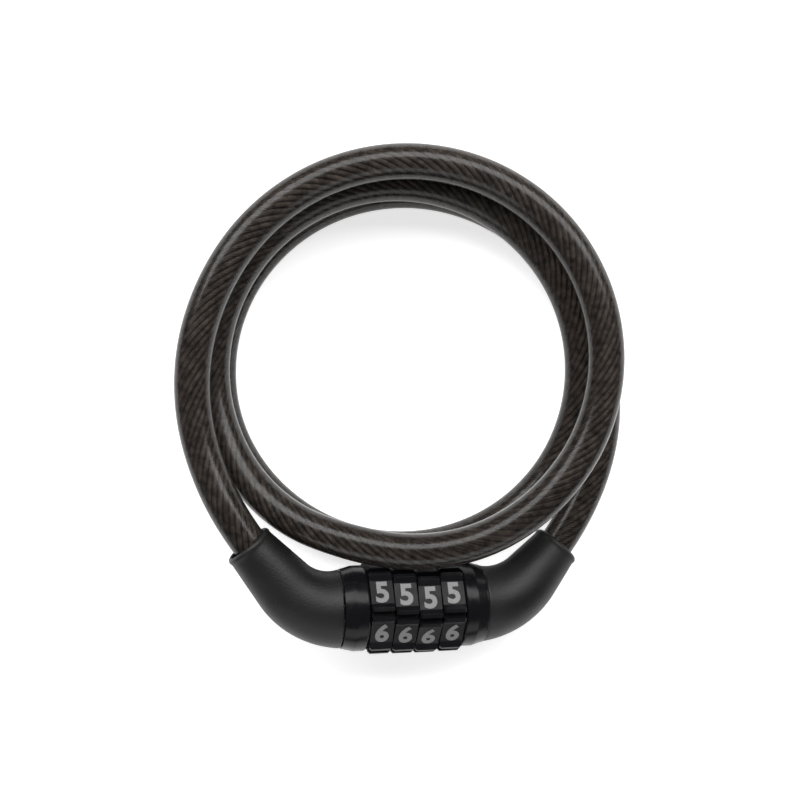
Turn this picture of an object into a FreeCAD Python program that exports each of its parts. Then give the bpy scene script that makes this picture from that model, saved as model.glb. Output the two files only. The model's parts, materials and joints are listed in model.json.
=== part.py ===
import FreeCAD, Part
import Sketcher
import math
import os

from FreeCAD import Placement, Rotation, Vector

# Combination cable lock: a self-coiling cable whose two ends meet in a four-dial head.
# World frame: +Z up from the surface it lies on, +X along the head, +Y towards the coil's middle.
# Head frame: local Z along the head's axis (towards the right end), local Y towards the coil,
# local X down towards the surface. The head is pitched, with its left end the higher one.

doc = FreeCAD.newDocument("cable_lock")

DIMENSIONS = {
    # where the head stands, and how far its axis is pitched
    "head_x": 1.02, "head_y": -6.35, "head_z": 19.94, "head_pitch": 13.0,
    # dials
    "dial_count": 4, "face_count": 6, "dial_pitch": 8.1, "dial_gap": 0.4,
    "ridge_radius": 15.7, "face_radius": 13.4, "face_half_angle": 16.5, "ridge_half_angle": 8.5,
    "groove_width": 2.0, "groove_radius": 13.6, "dial_bevel": 0.7, "number_bore": 10.0,
    # code rings inside the dials
    "ring_play": 0.05, "chamber_radius": 9.0, "lip_width": 3.65, "gate_width": 5.8,
    "click_radius": 7.1, "click_width": 3.0, "dimple_depth": 0.5, "dimple_radius": 0.9,
    # core, pin and teeth
    "core_radius": 6.5, "running_play": 0.08, "pin_radius": 4.0, "slot_width": 3.4,
    "tooth_width": 3.0, "tooth_length": 2.9, "tooth_reach": 8.6, "flange_radius": 8.8,
    "flange_width": 2.0, "keyway_width": 3.6,
    # collars
    "collar_width": 8.3, "collar_dial_radius": 14.3, "collar_boot_radius": 13.3,
    "collar_bevel": 0.6, "collar_gap": 0.3, "boot_gap": 0.3,
    # click spring and screws
    "strip_width": 2.8, "strip_thickness": 0.5, "strip_seat": 5.3, "dome_radius": 1.2,
    "dome_reach": 6.95, "screw_radius": 1.0, "screw_length": 5.5, "grub_radius": 1.5,
    "flange_screw_radius": 0.7, "flange_screw_head": 0.9, "flange_screw_circle": 7.7,
    # boots: each one's bend, and how far along and across from its collar its mouth lies
    "boot_end_radius": 13.1, "boot_mouth_radius": 8.0,
    "boot_end_wall": 3.6, "boot_mouth_wall": 1.0, "boot_sections": 9,
    "left_turn": 49.0, "left_reach": 30.6, "left_rise": 22.8,
    "right_turn": 48.0, "right_reach": 28.9, "right_rise": 19.7,
    # elbows and ferrules
    "elbow_radius": 6.7, "socket_depth": 4.0, "socket_length": 5.0, "ferrule_radius": 5.3,
    "fit_play": 0.05, "pin_seat": 5.0,
    # cable
    "sheath_radius": 6.0, "sheath_bore": 4.4, "rope_radius": 4.3, "layer_pitch": 12.3,
    "coil_x": -2.85, "coil_y": 80.7, "lead_out": 6.0, "coil_step": 22.0,
}

sheet = doc.addObject("Spreadsheet::Sheet", "Sheet")
for row, (alias, number) in enumerate(DIMENSIONS.items(), start=1):
    sheet.set(f"A{row}", alias)
    sheet.set(f"B{row}", str(number))
    sheet.setAlias(f"B{row}", alias)
doc.recompute()


def size(alias):
    """A driving dimension, read from the sheet."""
    return float(getattr(sheet, alias))


HEAD = Placement(Vector(size("head_x"), size("head_y"), size("head_z")),
                 Rotation(Vector(0, 1, 0), 90 + size("head_pitch")))
DIAL_COUNT = int(size("dial_count"))
DIAL_WIDTH = size("dial_pitch") - size("dial_gap")
DIAL_CENTRES = [(index - (DIAL_COUNT - 1) / 2) * size("dial_pitch") for index in range(DIAL_COUNT)]
# how far each dial sits from the middle of its click, in degrees
DIAL_SETTINGS = [-1.3, 3.5, 9.2, 3.7]
COLLAR_START = DIAL_CENTRES[-1] + DIAL_WIDTH / 2 + size("collar_gap")
COLLAR_END = COLLAR_START + size("collar_width")
subparts = []


def finish(obj, label, placement=HEAD):
    """Name a sub-part, put it in its place and list it for export."""
    obj.Label = label
    obj.Placement = placement
    subparts.append(obj)
    return obj


def primitive(kind, name, base=(0, 0, 0), turn=None, **sizes):
    """A Part primitive in the head frame, with its sizes bound to the sheet."""
    obj = doc.addObject("Part::" + kind, name)
    for prop, expression in sizes.items():
        obj.setExpression(prop, expression)
    obj.Placement = Placement(Vector(*base), turn or Rotation())
    return obj


def fuse(name, shapes):
    """Several shapes joined into one."""
    obj = doc.addObject("Part::MultiFuse", name)
    obj.Shapes = shapes
    return obj


def cut(name, base, tools):
    """A shape with the tools taken away from it."""
    obj = doc.addObject("Part::Cut", name)
    obj.Base = base
    obj.Tool = tools[0] if len(tools) == 1 else fuse(name + "_tools", tools)
    return obj


def built(name, shape):
    """A sub-part whose shape comes from Part's own functions, in the head frame."""
    obj = doc.addObject("Part::Feature", name)
    obj.Shape = shape
    return obj


def new_body(name, role):
    """A PartDesign body and its origin plane of that role."""
    body = doc.addObject("PartDesign::Body", name)
    plane = next(item for item in body.Origin.OriginFeatures if item.Role == role)
    return body, plane


def new_sketch(body, plane, name):
    """An empty sketch on one of the body's origin planes."""
    sketch = body.newObject("Sketcher::SketchObject", name)
    sketch.AttachmentSupport = [(plane, "")]
    sketch.MapMode = "FlatFace"
    return sketch


def add_circle(sketch, expression):
    """A circle about the sketch's origin."""
    radius = float(sketch.evalExpression(expression))
    index = sketch.addGeometry(Part.Circle(Vector(), Vector(0, 0, 1), radius), False)
    sketch.addConstraint(Sketcher.Constraint("Coincident", index, 3, -1, 1))
    constraint = sketch.addConstraint(Sketcher.Constraint("Radius", index, radius))
    sketch.setExpression(f"Constraints[{constraint}]", expression)


def add_polygon(sketch, corners):
    """A closed outline whose corners are pairs of expressions."""
    points = [Vector(float(sketch.evalExpression(x)), float(sketch.evalExpression(y)), 0)
              for x, y in corners]
    first = sketch.GeometryCount
    for index, point in enumerate(points):
        following = points[(index + 1) % len(points)]
        sketch.addGeometry(Part.LineSegment(point, following), False)
    for index, point in enumerate(points):
        line = first + index
        after = first + (index + 1) % len(points)
        sketch.addConstraint(Sketcher.Constraint("Coincident", line, 2, after, 1))
        across = sketch.addConstraint(Sketcher.Constraint("DistanceX", -1, 1, line, 1, point.x))
        sketch.setExpression(f"Constraints[{across}]", corners[index][0])
        up = sketch.addConstraint(Sketcher.Constraint("DistanceY", -1, 1, line, 1, point.y))
        sketch.setExpression(f"Constraints[{up}]", corners[index][1])


def add_feature(body, kind, name, sketch, **settings):
    """A PartDesign feature made from a sketch."""
    feature = body.newObject("PartDesign::" + kind, name)
    feature.Profile = sketch
    for prop, value in settings.items():
        setattr(feature, prop, value)
    sketch.Visibility = False
    return feature


def require_smaller(body, before, what):
    """Stop if a cutting feature took nothing away."""
    doc.recompute()
    if not body.Shape.Volume < before - 0.01:
        raise RuntimeError(f"{what} cut nothing")
    return body.Shape.Volume


def pattern_about_axis(body, features, name):
    """Repeat features once for each numbered face."""
    pattern = body.newObject("PartDesign::PolarPattern", name)
    pattern.Originals = features
    pattern.Axis = (features[0].Profile[0], ["N_Axis"])
    pattern.Angle = 360
    pattern.setExpression("Occurrences", "Sheet.face_count")
    body.Tip = pattern


# ---------------------------------------------------------------- dials

def number_ring(index):
    """A dial's outer ring: six flat faces for the numbers, with a split ridge between faces."""
    body, section_plane = new_body(f"number_ring_{index + 1}_body", "XY_Plane")
    side_plane = next(item for item in body.Origin.OriginFeatures if item.Role == "XZ_Plane")
    section = new_sketch(body, section_plane, f"ring_section_{index + 1}")
    add_circle(section, "Sheet.ridge_radius")
    add_circle(section, "Sheet.number_bore")
    pad = add_feature(body, "Pad", f"ring_pad_{index + 1}", section, SideType="Symmetric")
    pad.setExpression("Length", "Sheet.dial_pitch - Sheet.dial_gap")
    doc.recompute()
    volume = body.Shape.Volume

    face = new_sketch(body, section_plane, f"ring_face_{index + 1}")
    half_face = "Sheet.face_radius * tan(Sheet.face_half_angle * 1deg)"
    flank_angle = "(180 / Sheet.face_count - Sheet.ridge_half_angle) * 1deg"
    flank_x = f"Sheet.ridge_radius * cos({flank_angle})"
    flank_y = f"Sheet.ridge_radius * sin({flank_angle})"
    clear_x = "(Sheet.ridge_radius + 1)"
    add_polygon(face, [("Sheet.face_radius", f"-{half_face}"), (flank_x, f"-{flank_y}"),
                       (clear_x, f"-{flank_y}"), (clear_x, flank_y), (flank_x, flank_y),
                       ("Sheet.face_radius", half_face)])
    face_cut = add_feature(body, "Pocket", f"ring_face_cut_{index + 1}", face,
                           Type="ThroughAll", SideType="Symmetric")
    volume = require_smaller(body, volume, "a number face")
    pattern_about_axis(body, [face_cut], f"ring_faces_{index + 1}")
    volume = require_smaller(body, volume, "the other number faces")

    groove = new_sketch(body, section_plane, f"ring_groove_{index + 1}")
    half_groove = "Sheet.groove_width / 2"
    add_polygon(groove, [("Sheet.groove_radius", f"-{half_groove}"), (clear_x, f"-{half_groove}"),
                         (clear_x, half_groove), ("Sheet.groove_radius", half_groove)])
    groove.AttachmentOffset = Placement(Vector(), Rotation(Vector(0, 0, 1), 180 / size("face_count")))
    groove_cut = add_feature(body, "Pocket", f"ring_groove_cut_{index + 1}", groove,
                             Type="ThroughAll", SideType="Symmetric")
    volume = require_smaller(body, volume, "a ridge groove")
    pattern_about_axis(body, [groove_cut], f"ring_grooves_{index + 1}")
    volume = require_smaller(body, volume, "the other ridge grooves")

    bevel = new_sketch(body, side_plane, f"ring_bevel_{index + 1}")
    half_width = "(Sheet.dial_pitch - Sheet.dial_gap) / 2"
    edge = "(Sheet.ridge_radius + 0.1)"
    for side in ("", "-"):
        add_polygon(bevel, [(f"{edge} - Sheet.dial_bevel", f"{side}({half_width} + 0.1)"),
                            (f"{edge} + 0.1", f"{side}({half_width} + 0.1)"),
                            (f"{edge} + 0.1", f"{side}({half_width} - Sheet.dial_bevel)")])
    bevel_cut = add_feature(body, "Groove", f"ring_bevel_cut_{index + 1}", bevel)
    bevel_cut.ReferenceAxis = (bevel, ["V_Axis"])
    bevel_cut.Angle = 360
    require_smaller(body, volume, "the ring's bevels")
    return body


def code_ring(index):
    """A dial's inner ring: a chamber where the pin's tooth rests, and a lip with the gate."""
    name = f"code_ring_{index + 1}"
    half = DIAL_WIDTH / 2
    blank = primitive("Cylinder", name + "_blank", (0, 0, -half),
                      Radius="Sheet.number_bore - Sheet.ring_play",
                      Height="Sheet.dial_pitch - Sheet.dial_gap")
    bore = primitive("Cylinder", name + "_bore", (0, 0, -half),
                     Radius="Sheet.core_radius + Sheet.running_play",
                     Height="Sheet.dial_pitch - Sheet.dial_gap")
    chamber = primitive("Cylinder", name + "_chamber", (0, 0, size("lip_width") - half),
                        Radius="Sheet.chamber_radius",
                        Height="Sheet.dial_pitch - Sheet.dial_gap - Sheet.lip_width")
    click_start = (size("lip_width") - size("click_width")) / 2 - half
    click_track = primitive("Cylinder", name + "_click_track", (0, 0, click_start),
                            Radius="Sheet.click_radius", Height="Sheet.click_width")
    gate = primitive("Box", name + "_gate", (0, -size("gate_width") / 2, -half),
                     Length="Sheet.chamber_radius", Width="Sheet.gate_width",
                     Height="Sheet.lip_width")
    tools = [bore, chamber, click_track, gate]
    for face in range(1, int(size("face_count"))):
        angle = 360 * face / size("face_count")
        direction = Rotation(Vector(0, 0, 1), angle)
        seat = direction.multVec(Vector(size("click_radius") + size("dimple_depth")
                                        - size("dimple_radius"), 0, 0))
        tools.append(primitive("Cylinder", f"{name}_dimple_{face}", (seat.x, seat.y, click_start),
                               Radius="Sheet.dimple_radius", Height="Sheet.click_width"))
    return cut(name + "_cut", blank, tools)


def dials():
    """Each dial's two rings, turned to where the dial is set."""
    for index, centre in enumerate(DIAL_CENTRES):
        place = HEAD * Placement(Vector(0, 0, centre),
                                 Rotation(Vector(0, 0, 1), DIAL_SETTINGS[index]))
        finish(number_ring(index), f"number_ring_{index + 1}",
               place * Placement(Vector(), Rotation(Vector(0, 0, 1), 180 / size("face_count"))))
        finish(code_ring(index), f"code_ring_{index + 1}", place)


# ---------------------------------------------------------------- core, pin and collars

def lock_core():
    """The slotted tube that the dials turn on, with a flange at its right end."""
    length = 2 * COLLAR_END
    tube = primitive("Cylinder", "core_tube", (0, 0, -COLLAR_END), Radius="Sheet.core_radius")
    tube.Height = length
    flange = primitive("Cylinder", "core_flange", (0, 0, COLLAR_END),
                       Radius="Sheet.flange_radius", Height="Sheet.flange_width")
    bore = primitive("Cylinder", "core_bore", (0, 0, -COLLAR_END - 1),
                     Radius="Sheet.pin_radius + Sheet.running_play")
    bore.Height = COLLAR_END + 1 + pin_tip() + 1
    slot = primitive("Box", "core_slot", (0, -size("slot_width") / 2, -COLLAR_END - 1),
                     Length="Sheet.core_radius + 1", Width="Sheet.slot_width")
    slot.Height = COLLAR_END + 1 + pin_tip()
    seat_length = 2 * COLLAR_START
    strip_seat = primitive("Box", "core_strip_seat",
                           (-size("core_radius") - 1, -size("slot_width") / 2, -COLLAR_START),
                           Length="Sheet.core_radius + 1 - Sheet.strip_seat",
                           Width="Sheet.slot_width")
    strip_seat.Height = seat_length
    tools = [bore, slot, strip_seat]
    for side, position in enumerate(collar_screw_positions()):
        tools.append(primitive("Cylinder", f"core_dimple_{side}",
                               (0, size("core_radius") - size("screw_radius"), position),
                               Rotation(Vector(1, 0, 0), -90),
                               Radius="Sheet.screw_radius + Sheet.fit_play", Height="5"))
    tools += flange_screw_holes("core_screw_hole")
    return finish(cut("core_cut", fuse("core_blank", [tube, flange]), tools), "lock_core")


def pin_tip():
    """Where the pin ends: just past the last dial's tooth."""
    return DIAL_CENTRES[-1] + DIAL_WIDTH / 2 + 0.6


def locking_pin():
    """The plug's pin, with one tooth for each dial."""
    start = -COLLAR_END - size("boot_gap") - size("pin_seat")
    shaft = primitive("Cylinder", "pin_shaft", (0, 0, start), Radius="Sheet.pin_radius")
    shaft.Height = pin_tip() - size("pin_radius") / 4 - start
    nose = primitive("Cone", "pin_nose", (0, 0, pin_tip() - size("pin_radius") / 4),
                     Radius1="Sheet.pin_radius", Radius2="0.75 * Sheet.pin_radius",
                     Height="Sheet.pin_radius / 4")
    lip_end = size("lip_width") - DIAL_WIDTH / 2
    tooth_start = lip_end + (size("dial_pitch") - size("lip_width") - size("tooth_length")) / 2
    teeth = [primitive("Box", f"pin_tooth_{index + 1}",
                       (size("pin_radius") / 2, -size("tooth_width") / 2, centre + tooth_start),
                       Length="Sheet.tooth_reach - Sheet.pin_radius / 2",
                       Width="Sheet.tooth_width", Height="Sheet.tooth_length")
             for index, centre in enumerate(DIAL_CENTRES)]
    return finish(fuse("pin_fuse", [shaft, nose] + teeth), "locking_pin")


def collar_screw_positions():
    """How far along the head each collar's screw sits."""
    middle = (COLLAR_START + COLLAR_END) / 2
    return [-middle, middle]


def collar(side):
    """The glossy collar between the dials and a boot: a flared barrel with eased edges."""
    name = "left_collar" if side < 0 else "right_collar"
    body, plane = new_body(name + "_body", "XZ_Plane")
    profile = new_sketch(body, plane, name + "_profile")
    bore = "Sheet.core_radius + Sheet.fit_play"
    add_polygon(profile, [
        (bore, "0"),
        ("Sheet.collar_dial_radius - Sheet.collar_bevel", "0"),
        ("Sheet.collar_dial_radius", "Sheet.collar_bevel"),
        ("Sheet.collar_dial_radius", "Sheet.collar_width / 2"),
        ("Sheet.collar_boot_radius", "Sheet.collar_width - Sheet.collar_bevel / 2"),
        ("Sheet.collar_boot_radius - Sheet.collar_bevel / 2", "Sheet.collar_width"),
        (bore, "Sheet.collar_width"),
    ])
    turned = add_feature(body, "Revolution", name + "_turned", profile)
    turned.ReferenceAxis = (profile, ["V_Axis"])
    turned.Angle = 360
    doc.recompute()
    volume = body.Shape.Volume

    hole = new_sketch(body, plane, name + "_screw_hole")
    hole_circle = hole.addGeometry(
        Part.Circle(Vector(0, size("collar_width") / 2, 0), Vector(0, 0, 1), 1), False)
    hole.addConstraint(Sketcher.Constraint("PointOnObject", hole_circle, 3, -2))
    up = hole.addConstraint(Sketcher.Constraint("DistanceY", -1, 1, hole_circle, 3,
                                                size("collar_width") / 2))
    hole.setExpression(f"Constraints[{up}]", "Sheet.collar_width / 2")
    radius = hole.addConstraint(Sketcher.Constraint("Radius", hole_circle, 1))
    hole.setExpression(f"Constraints[{radius}]", "Sheet.screw_radius + Sheet.fit_play")
    drilled = add_feature(body, "Pocket", name + "_drilled", hole, Type="ThroughAll")
    drilled.Reversed = side < 0
    volume = require_smaller(body, volume, "the collar's screw hole")
    if side < 0:
        end_plane = next(item for item in body.Origin.OriginFeatures if item.Role == "XY_Plane")
        keyway = new_sketch(body, end_plane, name + "_keyway")
        half_keyway = "Sheet.keyway_width / 2"
        add_polygon(keyway, [("Sheet.core_radius / 2", f"-{half_keyway}"),
                             ("Sheet.chamber_radius", f"-{half_keyway}"),
                             ("Sheet.chamber_radius", half_keyway),
                             ("Sheet.core_radius / 2", half_keyway)])
        slotted = add_feature(body, "Pocket", name + "_slotted", keyway, Type="ThroughAll")
        slotted.Reversed = True
        require_smaller(body, volume, "the collar's keyway")
    turn = Rotation(Vector(1, 0, 0), 180) if side < 0 else Rotation()
    return finish(body, name, HEAD * Placement(Vector(0, 0, side * COLLAR_START), turn))


def collar_screws():
    """The two grub screws that hold the collars on the core, from the coil's side."""
    screws = []
    for side, position in enumerate(collar_screw_positions()):
        blank = primitive("Cylinder", f"collar_screw_{side}",
                          (0, size("core_radius") - size("screw_radius") / 2, position),
                          Rotation(Vector(1, 0, 0), -90),
                          Radius="Sheet.screw_radius", Height="Sheet.screw_length")
        socket = primitive("Prism", f"collar_screw_socket_{side}",
                           (0, size("core_radius") + size("screw_length") - 1.5, position),
                           Rotation(Vector(1, 0, 0), -90), Circumradius="Sheet.screw_radius / 2")
        socket.Polygon = 6
        socket.Height = 2
        screws.append(cut(f"collar_screw_cut_{side}", blank, [socket]))
    group = doc.addObject("Part::Compound", "collar_screw_group")
    group.Links = screws
    return finish(group, "collar_screws")


def click_spring():
    """A flat strip in the core's back with a dome under each dial's click track."""
    strip = primitive("Box", "spring_strip",
                      (-size("strip_seat") - size("strip_thickness") - size("fit_play"),
                       -size("strip_width") / 2, -COLLAR_START + 0.2),
                      Length="Sheet.strip_thickness", Width="Sheet.strip_width")
    strip.Height = 2 * COLLAR_START - 0.4
    domes = []
    for index, centre in enumerate(DIAL_CENTRES):
        middle = centre - DIAL_WIDTH / 2 + size("lip_width") / 2
        domes.append(primitive("Sphere", f"spring_dome_{index + 1}",
                               (size("dome_radius") - size("dome_reach"), 0, middle),
                               Radius="Sheet.dome_radius"))
    trim = primitive("Box", "spring_trim", (-size("strip_seat") - size("fit_play"), -5, -30),
                     Length="10", Width="10", Height="60")
    return finish(cut("spring_cut", fuse("spring_blank", [strip] + domes), [trim]), "click_spring")


# ---------------------------------------------------------------- boots, elbows and ferrules

class Bend:
    """A boot's centre line: an arc that leaves the head's axis, then a straight to the mouth.

    It is drawn in the head frame's YZ plane. side is -1 for the left end and +1 for the right.
    """

    def __init__(self, side, start):
        prefix = "left" if side < 0 else "right"
        self.side = side
        self.start = start
        self.turn = math.radians(size(prefix + "_turn"))
        reach = size(prefix + "_reach")
        rise = size(prefix + "_rise")
        sine, cosine = math.sin(self.turn), math.cos(self.turn)
        self.straight = (rise - reach * (1 - cosine) / sine) / (sine - cosine * (1 - cosine) / sine)
        self.radius = (reach - self.straight * cosine) / sine
        self.arc_length = self.radius * self.turn
        self.length = self.arc_length + self.straight

    def point(self, along):
        """The centre line's point at a distance along it from the collar."""
        if along <= self.arc_length:
            angle = along / self.radius
            reach = self.radius * math.sin(angle)
            rise = self.radius * (1 - math.cos(angle))
        else:
            extra = along - self.arc_length
            reach = self.radius * math.sin(self.turn) + extra * math.cos(self.turn)
            rise = self.radius * (1 - math.cos(self.turn)) + extra * math.sin(self.turn)
        return Vector(0, rise, self.side * (self.start + reach))

    def direction(self, along):
        angle = min(max(along, 0) / self.radius, self.turn)
        return Vector(0, math.sin(angle), self.side * math.cos(angle))

    def socket_frame(self):
        """The arc's end: local Z points along the centre line towards the mouth."""
        tilt = math.degrees(self.turn) if self.side > 0 else 180 - math.degrees(self.turn)
        return Placement(self.point(self.arc_length), Rotation(Vector(1, 0, 0), -tilt))

    def wire(self, start, end):
        """The centre line as an arc and a straight, between two distances along it."""
        edges = []
        arc_end = min(end, self.arc_length)
        if start < arc_end:
            middle = self.point((start + arc_end) / 2)
            edges.append(Part.Arc(self.point(start), middle, self.point(arc_end)).toShape())
        if end > self.arc_length:
            straight_start = max(start, self.arc_length)
            edges.append(Part.LineSegment(self.point(straight_start), self.point(end)).toShape())
        return Part.Wire(edges)

    def rod(self, start, end, radius):
        """A round bar that follows the centre line."""
        section = Part.Wire(Part.makeCircle(radius, self.point(start), self.direction(start)))
        return self.wire(start, end).makePipe(Part.Face(section))


LEFT = Bend(-1, COLLAR_END + size("boot_gap"))
RIGHT = Bend(1, COLLAR_END)
END_FOR_END = Placement(Vector(), Rotation(Vector(1, 0, 0), 180))


def boot_form(bend, end_radius, mouth_radius, overrun):
    """A loft of circles along the bend, from the collar to the mouth."""
    count = int(size("boot_sections"))
    circles = []
    for index in range(count + 1):
        share = index / count
        along = share * (bend.length + 2 * overrun) - overrun
        radius = end_radius + (mouth_radius - end_radius) * share
        centre = bend.point(max(along, 0))
        if along < 0:
            centre += Vector(0, 0, bend.side * along)
        circles.append(Part.Wire(Part.makeCircle(radius, centre, bend.direction(along))))
    return Part.makeLoft(circles, True, False)


def boot(bend, label):
    """The matt boot: a curved, tapering shell that is open at both ends."""
    outer = boot_form(bend, size("boot_end_radius"), size("boot_mouth_radius"), 0)
    inner = boot_form(bend, size("boot_end_radius") - size("boot_end_wall"),
                      size("boot_mouth_radius") - size("boot_mouth_wall"), 0.5)
    return finish(built(label + "_shell", outer.cut(inner)), label)


def elbow(bend, label, end_gap, end_holes):
    """The cast end fitting inside a boot: an end disc, a curved bar and a socket for a ferrule."""
    disc_base = (0, 0, bend.start + end_gap)
    bar = built(label + "_bar", bend.rod(end_gap + size("flange_width") / 2,
                                         bend.arc_length + size("socket_length"),
                                         size("elbow_radius")))
    disc = primitive("Cylinder", label + "_disc", disc_base, Radius="Sheet.flange_radius",
                     Height="Sheet.flange_width")
    socket = primitive("Cylinder", label + "_socket", (0, 0, -size("socket_depth")),
                       Radius="Sheet.ferrule_radius + Sheet.fit_play",
                       Height="Sheet.socket_depth + Sheet.socket_length + 1")
    grub_hole = primitive("Cylinder", label + "_grub_hole", turn=Rotation(Vector(0, 1, 0), 90),
                          Radius="Sheet.grub_radius + Sheet.fit_play",
                          Height="Sheet.elbow_radius + 1")
    for tool in (socket, grub_hole):
        tool.Placement = bend.socket_frame() * tool.Placement
    if bend.side < 0:
        disc.Placement = END_FOR_END * disc.Placement
    blank = fuse(label + "_blank", [disc, bar])
    return finish(cut(label + "_cut", blank, [socket, grub_hole] + end_holes), label)


def pin_hole():
    """The hole in the left elbow that holds the locking pin."""
    return primitive("Cylinder", "left_elbow_pin_hole", (0, 0, -LEFT.start - size("pin_seat") - 0.1),
                     Radius="Sheet.pin_radius + Sheet.fit_play", Height="Sheet.pin_seat + 1")


def flange_screw_row(name, start, radius, length):
    """Cylinders parallel to the head's axis, one above it and one below."""
    return [primitive("Cylinder", f"{name}_{index}", (place, 0, start), Radius=radius, Height=length)
            for index, place in enumerate((-size("flange_screw_circle"),
                                           size("flange_screw_circle")))]


def flange_screw_holes(name):
    """The holes those screws pass through, in both the flange and the elbow's disc."""
    return flange_screw_row(name, COLLAR_END - 0.5, "Sheet.flange_screw_radius + Sheet.fit_play",
                            "2 * Sheet.flange_width + 1")


def flange_screws():
    """The two screws that join the right elbow to the core's flange."""
    shanks = flange_screw_row("flange_screw_shank", COLLAR_END + 0.1, "Sheet.flange_screw_radius",
                              "2 * Sheet.flange_width - 0.1")
    heads = flange_screw_row("flange_screw_head", COLLAR_END + 2 * size("flange_width"),
                             "Sheet.flange_screw_head", "Sheet.flange_screw_radius")
    screws = [fuse(f"flange_screw_{index}", list(pair)) for index, pair in enumerate(zip(shanks, heads))]
    group = doc.addObject("Part::Compound", "flange_screw_group")
    group.Links = screws
    return finish(group, "flange_screws")


def ferrule(bend, label):
    """The sleeve that is crimped on the rope's end."""
    outer = primitive("Cylinder", label + "_outer", (0, 0, size("fit_play") - size("socket_depth")),
                      Radius="Sheet.ferrule_radius",
                      Height="Sheet.socket_depth + Sheet.socket_length - Sheet.fit_play")
    bore = primitive("Cylinder", label + "_bore", (0, 0, -size("socket_depth")),
                     Radius="Sheet.rope_radius + Sheet.fit_play",
                     Height="Sheet.socket_depth + Sheet.socket_length + 1")
    return finish(cut(label + "_cut", outer, [bore]), label, HEAD * bend.socket_frame())


def grub_screw(bend, label):
    """The headless screw that pins a ferrule in its elbow, from below."""
    gap = 2 * size("fit_play")
    screw = primitive("Cylinder", label + "_blank", (size("ferrule_radius") + gap, 0, 0),
                      Rotation(Vector(0, 1, 0), 90), Radius="Sheet.grub_radius",
                      Height="Sheet.elbow_radius - Sheet.ferrule_radius - 4 * Sheet.fit_play")
    slot = primitive("Box", label + "_slot",
                     (size("elbow_radius") - 0.5, -0.25, -size("grub_radius") - 1),
                     Length="1", Width="0.5", Height="2 * Sheet.grub_radius + 2")
    return finish(cut(label + "_cut", screw, [slot]), label, HEAD * bend.socket_frame())


# ---------------------------------------------------------------- cable

def head_point(local):
    """A point of the head's frame, in the world frame."""
    return HEAD.multVec(local)


# The coil is wound clockwise from the left mouth: its radius at chosen angles about its middle.
COIL_RADII = [
    (200, 71.4), (160, 68.0), (120, 68.3), (50, 70.0), (0, 68.2), (-40, 64.7),
    (-70, 62.5), (-105, 59.5), (-130, 62.8), (-160, 64.8), (-190, 65.0), (-250, 64.6),
    (-310, 62.8), (-340, 62.3), (-400, 63.1), (-450, 62.7), (-490, 63.4), (-520, 64.7),
    (-570, 64.2), (-610, 63.5), (-660, 64.5), (-690, 66.8), (-720, 70.6), (-742, 75.2),
]
# It starts on the top layer and drops one layer between each of these pairs of angles.
COIL_DESCENTS = [(-105, -172), (-330, -430)]


def coil_radius(angle):
    """A smooth curve through the chosen radii."""
    last = len(COIL_RADII) - 1

    def slope(index):
        before, after = COIL_RADII[max(index - 1, 0)], COIL_RADII[min(index + 1, last)]
        return (after[1] - before[1]) / (after[0] - before[0])

    for index, (start, end) in enumerate(zip(COIL_RADII, COIL_RADII[1:])):
        if start[0] >= angle >= end[0]:
            span = end[0] - start[0]
            share = (angle - start[0]) / span
            return (start[1] * (1 + 2 * share) * (1 - share) ** 2
                    + end[1] * share ** 2 * (3 - 2 * share)
                    + slope(index) * span * share * (1 - share) ** 2
                    - slope(index + 1) * span * share ** 2 * (1 - share))
    raise ValueError(angle)


def coil_height(angle):
    """The centre line's height: the cable rests on the layer below, and eases down each descent."""
    layer = len(COIL_DESCENTS)
    for start, end in COIL_DESCENTS:
        share = min(max((start - angle) / (start - end), 0), 1)
        layer -= share * share * (3 - 2 * share)
    return size("sheath_radius") + layer * size("layer_pitch")


def cable_route():
    """The cable's corner points, from the left elbow round the coil to the right elbow."""
    centre = Vector(size("head_x") + size("coil_x"), size("head_y") + size("coil_y"), 0)
    ends = [(head_point(bend.point(bend.arc_length + size("socket_length"))),
             head_point(bend.point(bend.length + size("lead_out")))) for bend in (LEFT, RIGHT)]
    points = list(ends[0])
    first, last = COIL_RADII[0][0], COIL_RADII[-1][0]
    steps = round((first - last) / size("coil_step"))
    step = (first - last) / steps
    # a corner stands out from the curve that its two runs touch
    stand_out = 1 / math.cos(math.radians(step / 2))
    for index in range(steps + 1):
        angle = first - index * step
        radius = coil_radius(angle) * stand_out
        turned = math.radians(angle)
        points.append(centre + Vector(radius * math.cos(turned), radius * math.sin(turned),
                                      coil_height(angle)))
    return points + list(reversed(ends[1]))


def rounded_path(points, overrun):
    """Straight runs joined by tangent arcs, with both ends carried on by the overrun."""
    edges = []
    radii = []
    start = points[0] + (points[0] - points[1]).normalize() * overrun
    for before, corner, after in zip(points, points[1:], points[2:]):
        inward = (before - corner).normalize()
        outward = (after - corner).normalize()
        half_turn = (math.pi - inward.getAngle(outward)) / 2
        setback = 0.45 * min((corner - before).Length, (after - corner).Length)
        radius = setback / math.tan(half_turn)
        radii.append(radius)
        arc_start = corner + inward * setback
        arc_end = corner + outward * setback
        bisector = (inward + outward).normalize()
        middle = corner + bisector * (radius / math.cos(half_turn) - radius)
        edges.append(Part.LineSegment(start, arc_start).toShape())
        edges.append(Part.Arc(arc_start, middle, arc_end).toShape())
        start = arc_end
    finish_point = points[-1] + (points[-1] - points[-2]).normalize() * overrun
    edges.append(Part.LineSegment(start, finish_point).toShape())
    runs = [(after - before).Length for before, after in zip(points, points[1:])]
    print("runs", round(min(runs), 1), "to", round(max(runs), 1),
          "arc radii", round(min(radii), 1), "to", round(max(radii), 1))
    return Part.Wire(edges)


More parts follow.
